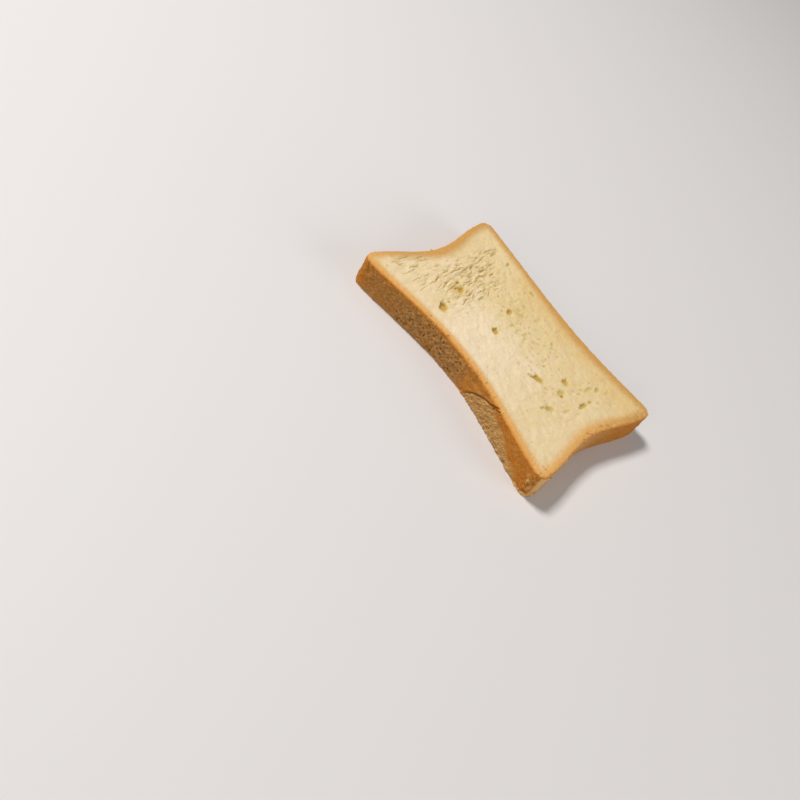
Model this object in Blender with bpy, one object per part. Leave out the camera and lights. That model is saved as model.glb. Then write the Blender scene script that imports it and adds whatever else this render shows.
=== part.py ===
"""One thick slice of toasted white bread, lying flat with its shown cut face up.

The slice came out of a pan loaf, so it is a rounded rectangle whose four sides
cave inwards between the corners.  A crust of browned skin runs round the edge,
and the open crumb of the two cut faces is torn and pitted.

Frame: metres, +Z up, the origin at the middle of the underside.  +X is the
slice's right side, +Y its far end.
"""

import math
import random

import bmesh
import bpy
from mathutils import Matrix, Vector, noise

MM = 0.001
HAIR = 0.001 * MM

# Outer sizes, before the sides cave in
SLICE_WIDTH = 80.0 * MM
SLICE_LENGTH = 120.4 * MM
SLICE_THICKNESS = 14.6 * MM
CORNER_RADIUS = 5.0 * MM
CORNER_SEGMENTS = 5
RIM_RADIUS = 1.3 * MM
RIM_SEGMENTS = 2

# How each side caves in: depth, sharpness of the hollow, and its lean towards
# the left or the near end of that side
FAR_SIDE = (7.4 * MM, 2.09, 0.07)
RIGHT_SIDE = (4.3 * MM, 1.21, 0.32)
NEAR_SIDE = (5.2 * MM, 2.25, 0.02)
LEFT_SIDE = (9.3 * MM, 1.44, 0.0)

# The near end was cut a little askew: its left corner reaches further out
NEAR_LEFT_REACH = 0.8 * MM

# A face whose normal stands this near to upright belongs to a cut face of the slice
FACE_UPRIGHTNESS = 0.95

# Grid on the shown face and the walls
GRID_STEP = 3.1 * MM
WALL_LEVELS = 3

# Soft unevenness of the bread
CRUST_WIDTH = 5.0 * MM
CRUMB_SINK = 0.35 * MM
FACE_SWELL = 0.30 * MM
FACE_SWELL_WAVE = 13.0 * MM
FACE_GRAIN = 0.16 * MM
FACE_GRAIN_WAVE = 4.5 * MM
WALL_SWELL = 0.35 * MM
WALL_SWELL_WAVE = 9.0 * MM

# Holes in the shown face, in millimetres and degrees:
# x, y, length, width, depth, turn of the long axis from +X
HOLES = (
    (-22.0, 24.9, 5.8, 3.2, 2.6, 66),
    (-16.3, 25.8, 2.2, 1.4, 1.2, 20),
    (-6.3, 28.8, 4.2, 2.4, 1.5, 20),
    (-5.0, 32.9, 3.6, 1.4, 1.1, 14),
    (9.3, 11.3, 4.4, 2.4, 1.8, 28),
    (14.6, 8.3, 5.6, 1.1, 0.7, -30),
    (-6.3, 4.9, 3.8, 3.2, 1.8, 40),
    (-4.5, -22.4, 7.6, 2.0, 1.8, -66),
    (8.0, -28.8, 4.2, 2.2, 1.5, 50),
    (1.5, -32.9, 3.4, 2.2, 1.4, 20),
    (-13.8, -34.2, 5.4, 1.2, 0.8, -22),
    (-10.6, -36.6, 3.6, 1.9, 1.2, -32),
    (7.2, -41.5, 5.2, 1.6, 1.2, 6),
    (12.4, -41.6, 2.2, 1.2, 0.9, 0),
    (20.3, -38.3, 2.8, 1.3, 0.8, 12),
    (13.0, -36.0, 8.0, 1.1, 0.6, 3),
    (30.0, 33.8, 3.2, 1.9, 1.1, 30),
    (30.0, 14.8, 5.0, 1.5, 0.9, 92),
)

# Torn seams that lie along the loaf's layers, towards the far end, in
# millimetres and degrees: x, y, length, turn from +X
TEARS = (
    (-23.0, 53.0, 8.0, -8),
    (-19.5, 47.6, 7.0, 3),
    (-23.6, 40.6, 5.0, -3),
    (-17.4, 41.3, 4.0, 12),
    (-14.6, 37.6, 10.0, 18),
    (0.2, 39.1, 10.0, 5),
    (8.4, 38.4, 5.0, -4),
    (14.2, 37.0, 4.6, -6),
    (18.4, 41.1, 7.0, 14),
    (25.6, 44.2, 9.0, 6),
    (26.8, 41.2, 4.6, 6),
    (-10.4, 31.2, 8.0, 14),
    (1.0, 31.9, 5.0, -4),
    (3.4, 35.2, 7.6, 8),
    (11.6, 32.2, 5.0, -24),
    (14.0, 35.0, 6.0, -2),
    (16.2, 31.6, 4.6, 8),
    (-2.2, 26.2, 4.4, 24),
    (4.4, 25.4, 7.0, 8),
    (-8.8, 23.2, 5.0, 20),
    (6.6, 22.6, 3.6, 30),
    (15.0, 27.6, 6.0, -5),
)
TEAR_WIDTH = 1.1 * MM
TEAR_DEPTH = 1.1 * MM

# Cracks in the skin of the long left wall, each a run of places on that wall,
# in millimetres: distance along +Y and height below the shown face
LONG_CRACK = ((-26.6, 0.0), (-24.5, 1.8), (-22.3, 3.2), (-19.4, 4.3), (-16.4, 5.9), (-13.4, 8.2),
              (-11.2, 10.3), (-9.6, 12.6))
FAR_CREASE = ((56.2, 0.0), (55.6, 2.4), (54.0, 5.6))
NEAR_CREASE = ((-57.2, 6.6), (-57.6, 9.8), (-57.0, 12.6))
CRACK_RADIUS = 0.55 * MM
CREASE_RADIUS = 0.45 * MM

# Small pores, drawn at random
PORE_SEED = 41
FACE_PORES = 20
UNDERSIDE_PORES = 16
WALL_PORES = 22
PORE_RADIUS = (0.45 * MM, 0.9 * MM)
PORE_STRETCH = (1.0, 1.8)
PORE_SPACING = 3.4 * MM
PORE_EDGE_MARGIN = 8.0 * MM
LEFT_WALL_SHARE = 0.6
WALL_PORE_REACH = 50.0 * MM
WALL_PORE_BAND = (3.4 * MM, 11.4 * MM)
REST_SPOT_RADIUS = 9.0 * MM

# Sides and rings of the egg-shaped cutters
HOLE_FACETS = (10, 6)
TEAR_FACETS = (6, 6)
PORE_FACETS = (6, 4)

CRUMB_COLOUR = (0.80, 0.66, 0.40, 1.0)
CRUST_COLOUR = (0.50, 0.27, 0.085, 1.0)
BREAD_ROUGHNESS = 0.85


def start_empty():
    """Take every object out of the scene."""
    for old in list(bpy.data.objects):
        bpy.data.objects.remove(old)


def new_collection(name):
    """A collection of its own for the parts or for the cutters."""
    collection = bpy.data.collections.new(name)
    bpy.context.scene.collection.children.link(collection)
    return collection


def bread_material(name, colour):
    """Dry, matt bread."""
    material = bpy.data.materials.new(name)
    material.use_nodes = True
    shader = material.node_tree.nodes["Principled BSDF"]
    shader.inputs["Base Color"].default_value = colour
    shader.inputs["Roughness"].default_value = BREAD_ROUGHNESS
    shader.inputs["Metallic"].default_value = 0.0
    material.diffuse_color = colour
    return material


def hollow(side, along):
    """How far a side is pulled in, along being 0 at one corner and 1 at the next."""
    depth, sharpness, lean = side
    along = min(max(along, 0.0), 1.0)
    return depth * math.sin(math.pi * along) ** sharpness * (1.0 + lean * math.cos(math.pi * along))


def cave_in(point):
    """Move a point of the straight box to its place in the caved slice."""
    right = 0.5 + point.x / SLICE_WIDTH
    far = 0.5 + point.y / SLICE_LENGTH
    shift_x = hollow(LEFT_SIDE, far) * (1.0 - right) - hollow(RIGHT_SIDE, far) * right
    shift_y = hollow(NEAR_SIDE, right) * (1.0 - far) - hollow(FAR_SIDE, right) * far
    askew = NEAR_LEFT_REACH * (1.0 - far) * (2.0 * right - 1.0)
    return Vector((point.x + shift_x, point.y + shift_y + askew, point.z))


def edge_distance(point):
    """Distance from the nearest side, measured in the straight box."""
    return min(SLICE_WIDTH / 2.0 - abs(point.x), SLICE_LENGTH / 2.0 - abs(point.y))


def relief(point):
    """Sunken crumb and soft unevenness, as a shift of a point of the straight box."""
    height = point.z / SLICE_THICKNESS
    inside = min(max(edge_distance(point) / CRUST_WIDTH, 0.0), 1.0)
    swell = FACE_SWELL * noise.noise(point / FACE_SWELL_WAVE)
    grain = FACE_GRAIN * noise.noise(point / FACE_GRAIN_WAVE)
    face_shift = (swell + grain - CRUMB_SINK) * inside if height > 0.5 else 0.0
    wall_weight = (1.0 - inside) * math.sin(math.pi * height)
    outward = Vector((point.x / SLICE_WIDTH, point.y / SLICE_LENGTH, 0.0))
    wall_shift = WALL_SWELL * wall_weight * noise.noise(point / WALL_SWELL_WAVE)
    return outward.normalized() * wall_shift + Vector((0.0, 0.0, face_shift))


def rise(edge):
    """Difference in height between the two ends of an edge."""
    return abs(edge.verts[0].co.z - edge.verts[1].co.z)


def cut_grid(mesh, axis, half_size, count):
    """Cut the box across one axis into equal strips, leaving the underside whole."""
    normal = Vector((0.0, 0.0, 0.0))
    normal[axis] = 1.0
    for index in range(1, count):
        place = Vector((0.0, 0.0, 0.0))
        place[axis] = half_size * (2.0 * index / count - 1.0)
        if axis == 2:
            place[axis] += SLICE_THICKNESS / 2.0
        faces = [face for face in mesh.faces if face.normal.z > -FACE_UPRIGHTNESS]
        edges = {edge for face in faces for edge in face.edges}
        verts = {vert for face in faces for vert in face.verts}
        geometry = list(verts) + list(edges) + faces
        bmesh.ops.bisect_plane(mesh, geom=geometry, dist=HAIR, plane_co=place, plane_no=normal)


def slice_body(name, collection, materials):
    """The slice before its holes: a rounded box, gridded, caved in and made uneven."""
    mesh = bmesh.new()
    bmesh.ops.create_cube(mesh, size=1.0)
    bmesh.ops.scale(mesh, vec=(SLICE_WIDTH, SLICE_LENGTH, SLICE_THICKNESS), verts=mesh.verts)
    bmesh.ops.translate(mesh, vec=(0.0, 0.0, SLICE_THICKNESS / 2.0), verts=mesh.verts)

    upright = [edge for edge in mesh.edges if rise(edge) > HAIR]
    bmesh.ops.bevel(mesh, geom=upright, offset=CORNER_RADIUS, segments=CORNER_SEGMENTS, profile=0.5,
                    affect="EDGES")
    rims = [edge for edge in mesh.edges if rise(edge) < HAIR]
    bmesh.ops.bevel(mesh, geom=rims, offset=RIM_RADIUS, segments=RIM_SEGMENTS, profile=0.5,
                    affect="EDGES")
    mesh.normal_update()

    cut_grid(mesh, 0, SLICE_WIDTH / 2.0, round(SLICE_WIDTH / GRID_STEP))
    cut_grid(mesh, 1, SLICE_LENGTH / 2.0, round(SLICE_LENGTH / GRID_STEP))
    cut_grid(mesh, 2, SLICE_THICKNESS / 2.0, WALL_LEVELS + 1)
    for vert in mesh.verts:
        vert.co = cave_in(vert.co + relief(vert.co))

    mesh.normal_update()
    for face in mesh.faces:
        face.material_index = 0 if abs(face.normal.z) > FACE_UPRIGHTNESS else 1
        face.smooth = True
    data = bpy.data.meshes.new(name)
    mesh.to_mesh(data)
    mesh.free()
    body = bpy.data.objects.new(name, data)
    for material in materials:
        data.materials.append(material)
    collection.objects.link(body)
    return body


def add_cutter(mesh_data, name, collection):
    """Put a cutter in the scene, out of the render and drawn as wire."""
    cutter = bpy.data.objects.new(name, mesh_data)
    cutter.hide_render = True
    cutter.display_type = "WIRE"
    collection.objects.link(cutter)
    return cutter


def bowl_cutter(name, collection, centre, size, turn, facets):
    """An egg-shaped cutter: size is its length, width and depth below the surface."""
    length, width, depth = size
    sides, rings = facets
    shape = bmesh.new()
    bmesh.ops.create_uvsphere(shape, u_segments=sides, v_segments=rings, radius=1.0)
    bmesh.ops.scale(shape, vec=(length / 2.0, width / 2.0, depth), verts=shape.verts)
    bmesh.ops.rotate(shape, matrix=Matrix.Rotation(turn, 3, "Z"), verts=shape.verts)
    bmesh.ops.translate(shape, vec=centre, verts=shape.verts)
    data = bpy.data.meshes.new(name)
    shape.to_mesh(data)
    shape.free()
    return add_cutter(data, name, collection)


def left_wall_place(along, below):
    """A place on the long left wall, from its distance along +Y and below the shown face."""
    past_corner = max(abs(along) - (SLICE_LENGTH / 2.0 - CORNER_RADIUS), 0.0)
    rounding = CORNER_RADIUS - math.sqrt(max(CORNER_RADIUS ** 2 - past_corner ** 2, 0.0))
    straight = Vector((rounding - SLICE_WIDTH / 2.0, along, SLICE_THICKNESS - below))
    return cave_in(straight)


def crack_cutter(name, collection, route, radius):
    """A round groove that follows a route of places on the left wall."""
    curve = bpy.data.curves.new(name + "_route", "CURVE")
    curve.dimensions = "3D"
    curve.bevel_depth = radius
    curve.bevel_resolution = 1
    curve.use_fill_caps = True
    spline = curve.splines.new("POLY")
    spline.points.add(len(route) - 1)
    for point, (along, below) in zip(spline.points, route):
        place = left_wall_place(along * MM, below * MM)
        point.co = (place.x, place.y, place.z, 1.0)
    guide = bpy.data.objects.new(name + "_route", curve)
    collection.objects.link(guide)

    bpy.context.view_layer.update()
    evaluated = guide.evaluated_get(bpy.context.evaluated_depsgraph_get())
    data = bpy.data.meshes.new_from_object(evaluated)
    welded = bmesh.new()
    welded.from_mesh(data)
    bmesh.ops.remove_doubles(welded, verts=welded.verts, dist=HAIR)
    welded.to_mesh(data)
    welded.free()
    cutter = add_cutter(data, name, collection)
    cutter.matrix_world = guide.matrix_world
    bpy.data.objects.remove(guide)
    return cutter


def face_height(x, y):
    """Height of the shown face above a place that is given in the caved slice."""
    place = Vector((x, y, SLICE_THICKNESS))
    return (place + relief(place)).z


def far_enough(place, taken, spacing):
    """Whether a place keeps clear of those already taken."""
    return all((place - other).length > spacing for other in taken)


def pore_places(draw, count, taken, place_of):
    """Draw places that keep clear of one another and of what is cut already."""
    places = []
    while len(places) < count:
        place = place_of(draw)
        if place is not None and far_enough(place, taken + places, PORE_SPACING):
            places.append(place)
    return places


def face_place(draw, height):
    """A random place on a cut face, inside its crust."""
    straight = Vector((draw.uniform(-1.0, 1.0) * (SLICE_WIDTH / 2.0 - PORE_EDGE_MARGIN),
                       draw.uniform(-1.0, 1.0) * (SLICE_LENGTH / 2.0 - PORE_EDGE_MARGIN),
                       height))
    return cave_in(straight)


def underside_place(draw):
    """A random place on the underside, clear of the spot in its middle."""
    place = face_place(draw, 0.0)
    return place if place.length > REST_SPOT_RADIUS else None


def wall_place(draw):
    """A random place on one of the two long walls, most of them on the left."""
    side = -1.0 if draw.random() < LEFT_WALL_SHARE else 1.0
    straight = Vector((side * SLICE_WIDTH / 2.0,
                       draw.uniform(-WALL_PORE_REACH, WALL_PORE_REACH),
                       draw.uniform(*WALL_PORE_BAND)))
    return cave_in(straight)


def add_face_cutters(collection):
    """Cutters of the holes and torn seams of the shown face; returns their places."""
    places = []
    for index, (x, y, length, width, depth, turn) in enumerate(HOLES):
        centre = Vector((x * MM, y * MM, face_height(x * MM, y * MM)))
        bowl_cutter(f"hole_{index}", collection, centre, (length * MM, width * MM, depth * MM),
                    math.radians(turn), HOLE_FACETS)
        places.append(centre)
    for index, (x, y, length, turn) in enumerate(TEARS):
        centre = Vector((x * MM, y * MM, face_height(x * MM, y * MM)))
        bowl_cutter(f"tear_{index}", collection, centre, (length * MM, TEAR_WIDTH, TEAR_DEPTH),
                    math.radians(turn), TEAR_FACETS)
        places.append(centre)
    return places


def add_pore_cutters(collection, taken):
    """Cutters of the small pores on both cut faces and the two long walls."""
    draw = random.Random(PORE_SEED)
    groups = (
        ("pore_face", FACE_PORES, lambda source: face_place(source, SLICE_THICKNESS - CRUMB_SINK)),
        ("pore_underside", UNDERSIDE_PORES, underside_place),
        ("pore_wall", WALL_PORES, wall_place),
    )
    for name, count, place_of in groups:
        for index, centre in enumerate(pore_places(draw, count, taken, place_of)):
            radius = draw.uniform(*PORE_RADIUS)
            stretch = draw.uniform(*PORE_STRETCH)
            size = (2.0 * radius * stretch, 2.0 * radius, radius)
            turn = draw.uniform(0.0, math.pi)
            bowl_cutter(f"{name}_{index}", collection, centre, size, turn, PORE_FACETS)


def crack_places():
    """Places along the cracks of the left wall, for the pores to keep clear of."""
    routes = LONG_CRACK + FAR_CREASE + NEAR_CREASE
    return [left_wall_place(along * MM, below * MM) for along, below in routes]


def cut_away(body, cutters):
    """Take all the cutters out of the slice in one go."""
    cut = body.modifiers.new("holes and cracks", "BOOLEAN")
    cut.operation = "DIFFERENCE"
    cut.operand_type = "COLLECTION"
    cut.collection = cutters
    cut.solver = "EXACT"


def centre_on_origin(body, cutters):
    """Move the slice and its cutters so that the middle of its outline is the origin."""
    corners = [Vector(corner) for corner in body.bound_box]
    middle = (corners[0] + corners[6]) / 2.0
    for piece in [body] + list(cutters.objects):
        piece.location.x -= middle.x
        piece.location.y -= middle.y


def main():
    start_empty()
    parts = new_collection("toast")
    cutters = new_collection("toast cutters")
    crumb = bread_material("toasted crumb", CRUMB_COLOUR)
    crust = bread_material("browned crust", CRUST_COLOUR)
    body = slice_body("toast_slice", parts, (crumb, crust))
    taken = add_face_cutters(cutters)
    crack_cutter("long_crack", cutters, LONG_CRACK, CRACK_RADIUS)
    crack_cutter("far_crease", cutters, FAR_CREASE, CREASE_RADIUS)
    crack_cutter("near_crease", cutters, NEAR_CREASE, CREASE_RADIUS)
    add_pore_cutters(cutters, taken + crack_places())
    centre_on_origin(body, cutters)
    cut_away(body, cutters)


main()
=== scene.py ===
"""A thick slice of toasted white pan bread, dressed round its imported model.

The slice is modelled as one fine block: its sides cave in, its crust rolls over
the rim, and pits, torn seams, wrinkles and a crack are pressed into its surface.
Toasted crumbs cling to the rim.  Sizes are millimetres in the slice's own frame,
whose origin is the middle of the straight block before the sides cave in, and
turn into metres only where a mesh or a camera is written.
"""

import logging
import math
from dataclasses import dataclass, field
from enum import Enum
from typing import Any

import bpy
import numpy as np
from mathutils import Matrix, Quaternion, Vector


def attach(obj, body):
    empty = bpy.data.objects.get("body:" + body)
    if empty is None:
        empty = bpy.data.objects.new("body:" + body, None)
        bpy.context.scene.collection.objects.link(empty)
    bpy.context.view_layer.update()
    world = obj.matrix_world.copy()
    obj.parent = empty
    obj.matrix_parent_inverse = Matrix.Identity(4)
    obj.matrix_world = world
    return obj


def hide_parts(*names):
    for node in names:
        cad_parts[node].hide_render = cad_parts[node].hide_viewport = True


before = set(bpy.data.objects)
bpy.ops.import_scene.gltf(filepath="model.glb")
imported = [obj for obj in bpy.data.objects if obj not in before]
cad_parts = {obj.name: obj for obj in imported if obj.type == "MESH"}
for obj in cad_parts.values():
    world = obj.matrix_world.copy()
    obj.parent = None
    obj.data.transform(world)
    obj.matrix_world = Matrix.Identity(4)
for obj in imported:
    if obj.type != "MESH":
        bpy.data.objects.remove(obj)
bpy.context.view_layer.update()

LOG = logging.getLogger("toast")
MM = 0.001
SLICE_NODE = "toast_slice"
# A distance in millimetres at which no seam or crack has any effect.
FAR_OFF = 3.0


def hex_colour(code: str) -> tuple[float, float, float, float]:
    """Turn an sRGB hex colour into the linear one that a shader takes.

    Args:
        code: Six hex digits with a leading hash.

    Returns:
        Linear red, green and blue, and an alpha of 1.
    """
    channels = [int(code[start:start + 2], 16) / 255.0 for start in (1, 3, 5)]
    linear = [c / 12.92 if c <= 0.04045 else ((c + 0.055) / 1.055) ** 2.4 for c in channels]
    return (linear[0], linear[1], linear[2], 1.0)


def fade(value: np.ndarray, start: float, end: float) -> np.ndarray:
    """Rise smoothly from 0 at start to 1 at end, which may be the smaller of the two.

    Args:
        value: Numbers to map.
        start: Where the result is 0.
        end: Where the result is 1.

    Returns:
        Weights between 0 and 1.
    """
    share = np.clip((value - start) / (end - start), 0.0, 1.0)
    return share * share * (3.0 - 2.0 * share)


def per_metre(size: float) -> float:
    """Scale of a pattern on Object coordinates, from the size of one repeat in millimetres."""
    return 1.0 / (size * MM)


def read(items: bpy.types.bpy_prop_collection, name: str, width: int = 1, kind: type = float) -> np.ndarray:
    """Read one property of all vertices, edges, faces or corners of a mesh.

    Args:
        items: The elements.
        name: The property.
        width: How many numbers it has for each element.
        kind: Type of the numbers.

    Returns:
        The numbers, in one row for each element where it has several.
    """
    values = np.empty(len(items) * width, kind)
    items.foreach_get(name, values)
    return values.reshape(-1, width) if width > 1 else values


@dataclass
class SoftNoise:
    """Smooth, seeded unevenness in space, between about -1 and 1."""

    seed: int
    cells: int = 32
    slopes: np.ndarray = field(init=False)

    def __post_init__(self) -> None:
        """Draw one slope for each corner of a lattice that repeats."""
        draw = np.random.default_rng(self.seed)
        slopes = draw.normal(size=(self.cells, self.cells, self.cells, 3))
        self.slopes = slopes / np.linalg.norm(slopes, axis=-1, keepdims=True)

    def at(self, points: np.ndarray, wave: float | tuple[float, float, float]) -> np.ndarray:
        """Read the noise.

        Args:
            points: Places in millimetres, one row each.
            wave: Size of a bump in millimetres, or one size for each axis.

        Returns:
            One number for each place.
        """
        scaled = points / np.asarray(wave, float) + 0.37 * self.cells
        corner = np.floor(scaled).astype(int)
        inside = scaled - corner
        weight = inside ** 3 * (inside * (inside * 6.0 - 15.0) + 10.0)
        total = np.zeros(len(points))
        for step in np.ndindex(2, 2, 2):
            offset = np.array(step)
            index = (corner + offset) % self.cells
            slope = self.slopes[index[:, 0], index[:, 1], index[:, 2]]
            share = np.prod(np.where(offset == 1, weight, 1.0 - weight), axis=1)
            total += share * np.einsum("ij,ij->i", slope, inside - offset)
        return total * 1.6


@dataclass(frozen=True)
class Side:
    """How one side of the slice caves in between its two corners."""

    depth: float
    sharpness: float
    lean: float

    def hollow(self, along: np.ndarray) -> np.ndarray:
        """Give the depth at along, which is 0 at one corner and 1 at the next."""
        turn = math.pi * np.clip(along, 0.0, 1.0)
        return self.depth * np.sin(turn) ** self.sharpness * (1.0 + self.lean * np.cos(turn))


@dataclass(frozen=True)
class SliceForm:
    """The outer form of the slice, from a straight block to its caved outline."""

    width: float = 80.0
    length: float = 120.4
    thickness: float = 14.6
    corner_radius: float = 5.0
    rim_radius: float = 0.95
    foot_radius: float = 0.45
    far: Side = Side(7.4, 2.09, 0.07)
    right: Side = Side(4.3, 1.21, 0.32)
    near: Side = Side(5.2, 2.25, 0.02)
    left: Side = Side(9.3, 1.44, 0.0)
    near_left_reach: float = 0.8
    crust_far: float = 4.4
    crust_far_middle: float = 2.6
    crust_right: float = 4.4
    crust_right_middle: float = 2.6
    crust_near: float = 4.7
    crust_near_middle: float = 1.7
    crust_left: float = 4.1

    def cave(self, flat: np.ndarray) -> np.ndarray:
        """Move places of the straight block to the caved slice.

        Args:
            flat: Places in plan, one row of x and y each.

        Returns:
            The caved places in plan.
        """
        right = 0.5 + flat[:, 0] / self.width
        far = 0.5 + flat[:, 1] / self.length
        shift_x = self.left.hollow(far) * (1.0 - right) - self.right.hollow(far) * right
        shift_y = self.near.hollow(right) * (1.0 - far) - self.far.hollow(right) * far
        askew = self.near_left_reach * (1.0 - far) * (2.0 * right - 1.0)
        return flat + np.column_stack([shift_x, shift_y + askew])

    def round_corners(self, flat: np.ndarray) -> np.ndarray:
        """Draw the square corners of a grid in to round ones, moving the whole corner patch.

        Args:
            flat: Places in plan.

        Returns:
            The moved places in plan.
        """
        start = np.array([self.width, self.length]) / 2.0 - self.corner_radius
        past = np.clip((np.abs(flat) - start) / self.corner_radius, 0.0, 1.0)
        rounded = past * np.sqrt(1.0 - past[:, ::-1] ** 2 / 2.0)
        in_corner = (past > 0.0).all(axis=1)
        moved = np.sign(flat) * (start + rounded * self.corner_radius)
        return np.where(in_corner[:, None], moved, flat)

    def inset(self, flat: np.ndarray) -> tuple[np.ndarray, np.ndarray]:
        """Measure how far places lie inside the rounded straight block.

        Args:
            flat: Places in plan.

        Returns:
            Distances from the edge, and the way to it as unit rows.
        """
        core = np.array([self.width, self.length]) / 2.0 - self.corner_radius
        past = np.abs(flat) - core
        outside = np.maximum(past, 0.0)
        reach = np.linalg.norm(outside, axis=1)
        distance = self.corner_radius - reach - np.minimum(past.max(axis=1), 0.0)
        axis_way = np.where(past[:, :1] > past[:, 1:], [1.0, 0.0], [0.0, 1.0])
        corner_way = outside / np.maximum(reach, 1e-9)[:, None]
        way = np.where((past > 0.0).all(axis=1)[:, None], corner_way, axis_way)
        return distance, way * np.where(flat < 0.0, -1.0, 1.0)

    def crust_depth(self, flat: np.ndarray) -> np.ndarray:
        """Tell how deep places lie behind the crust.

        Args:
            flat: Places in plan.

        Returns:
            0 at the edge, and 1 where the crust's band fades out.
        """
        half_width, half_length = self.width / 2.0, self.length / 2.0
        mid_share = np.exp(-((flat[:, 0] - 2.0) / 15.0) ** 2)
        right_share = np.exp(-((flat[:, 1] + 14.0) / 32.0) ** 2)
        shares = np.column_stack([
            (half_width - flat[:, 0]) / (self.crust_right + self.crust_right_middle * right_share),
            (half_width + flat[:, 0]) / self.crust_left,
            (half_length - flat[:, 1]) / (self.crust_far + self.crust_far_middle * mid_share),
            (half_length + flat[:, 1]) / (self.crust_near + self.crust_near_middle * mid_share),
        ])
        return (np.maximum(shares, 1e-3) ** -7.0).sum(axis=1) ** (-1.0 / 7.0)

    def baking(self, flat: np.ndarray) -> np.ndarray:
        """Tell how brown the crust is by side.

        Args:
            flat: Places in plan.

        Returns:
            0 at the left side, rising to 1 at the right one.
        """
        right = fade(flat[:, 0], -0.1 * self.width, 0.42 * self.width)
        off_left = fade(flat[:, 0], -0.48 * self.width, -0.25 * self.width)
        far = fade(flat[:, 1], 0.36 * self.length, 0.46 * self.length) * (0.25 + 0.65 * off_left)
        near = fade(flat[:, 1], -0.40 * self.length, -0.46 * self.length) * (0.02 + 0.22 * off_left)
        return np.maximum(np.maximum(right, far), near)

    def middle(self) -> np.ndarray:
        """Find the middle of the caved outline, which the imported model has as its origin.

        Returns:
            Its x and y in the straight block.
        """
        turn = np.linspace(0.0, 1.0, 400)
        line = np.stack([turn * 2.0 - 1.0, np.ones_like(turn)], axis=1)
        square = np.concatenate([line, -line, line[:, ::-1], -line[:, ::-1]])
        flat = self.round_corners(square * [self.width / 2.0, self.length / 2.0])
        outline = self.cave(flat)
        return (outline.min(axis=0) + outline.max(axis=0)) / 2.0


@dataclass(frozen=True)
class Hole:
    """A hole or dent in the shown face: place, size and turn of its long axis from +X."""

    x: float
    y: float
    length: float
    width: float
    depth: float
    turn: float


@dataclass(frozen=True)
class Tear:
    """A torn seam along the loaf's layers: place, length and turn from +X."""

    x: float
    y: float
    length: float
    turn: float
    width: float = 0.34
    depth: float = 0.60


# The holes of the shown face, from the far end to the near one.
HOLES = (
    Hole(-21.5, 23.2, 7.0, 3.8, 2.6, 66),
    Hole(-16.3, 25.4, 2.2, 1.4, 1.2, 20),
    Hole(-6.3, 28.6, 4.4, 3.0, 1.5, 20),
    Hole(-5.0, 32.6, 3.8, 1.7, 1.1, 14),
    Hole(9.5, 10.6, 4.8, 2.7, 1.8, 28),
    Hole(14.6, 7.9, 5.8, 1.4, 0.8, -30),
    Hole(-6.0, 4.1, 4.2, 3.4, 1.8, 40),
    Hole(-3.5, -23.8, 7.8, 2.7, 1.7, -64),
    Hole(-3.8, -28.4, 3.0, 2.4, 0.4, 0),
    Hole(4.6, -18.8, 2.2, 1.7, 0.9, 0),
    Hole(7.0, -12.6, 2.8, 1.6, 0.5, 0),
    Hole(8.0, -30.0, 5.4, 3.2, 1.3, 52),
    Hole(1.4, -33.1, 5.0, 3.4, 0.9, 20),
    Hole(1.2, -34.3, 2.4, 1.5, 1.6, 15),
    Hole(-12.8, -35.3, 5.6, 1.6, 0.8, -22),
    Hole(-9.9, -37.0, 5.2, 2.8, 1.1, -38),
    Hole(-3.0, -40.9, 4.8, 1.4, 0.7, -8),
    Hole(7.3, -42.2, 6.8, 2.4, 1.3, 5),
    Hole(12.6, -42.1, 2.7, 1.5, 1.0, 0),
    Hole(16.2, -44.1, 3.0, 1.5, 0.6, -10),
    Hole(20.9, -38.9, 5.0, 2.4, 0.9, 14),
    Hole(16.1, -36.9, 8.0, 2.1, 0.7, 3),
    Hole(10.1, -36.6, 3.4, 1.6, 0.6, 0),
    Hole(24.6, -42.0, 4.2, 1.8, 0.5, 8),
    Hole(30.0, 33.4, 3.4, 2.1, 1.1, 30),
    Hole(30.0, 14.4, 5.0, 1.7, 0.9, 92),
)

# The large torn seams of the far end.
TEARS = (
    Tear(-23.0, 53.0, 8.0, -8),
    Tear(-19.5, 47.6, 7.0, 3),
    Tear(-23.6, 40.6, 5.0, -3),
    Tear(-17.4, 41.3, 4.0, 12),
    Tear(-14.6, 37.6, 10.0, 18),
    Tear(0.2, 39.1, 10.0, 5),
    Tear(8.4, 38.4, 5.0, -4),
    Tear(14.2, 37.0, 4.6, -6),
    Tear(18.4, 41.1, 7.0, 14),
    Tear(25.6, 44.2, 9.0, 6),
    Tear(26.8, 41.2, 4.6, 6),
    Tear(-10.4, 31.2, 8.0, 14),
    Tear(1.0, 31.9, 5.0, -4),
    Tear(3.4, 35.2, 7.6, 8),
    Tear(11.6, 32.2, 5.0, -24),
    Tear(14.0, 35.0, 6.0, -2),
    Tear(16.2, 31.6, 4.6, 8),
    Tear(-2.2, 26.2, 4.4, 24),
    Tear(4.4, 25.4, 7.0, 8),
    Tear(-8.8, 23.2, 5.0, 20),
    Tear(6.6, 22.6, 3.6, 30),
    Tear(15.0, 27.6, 6.0, -5),
)

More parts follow.
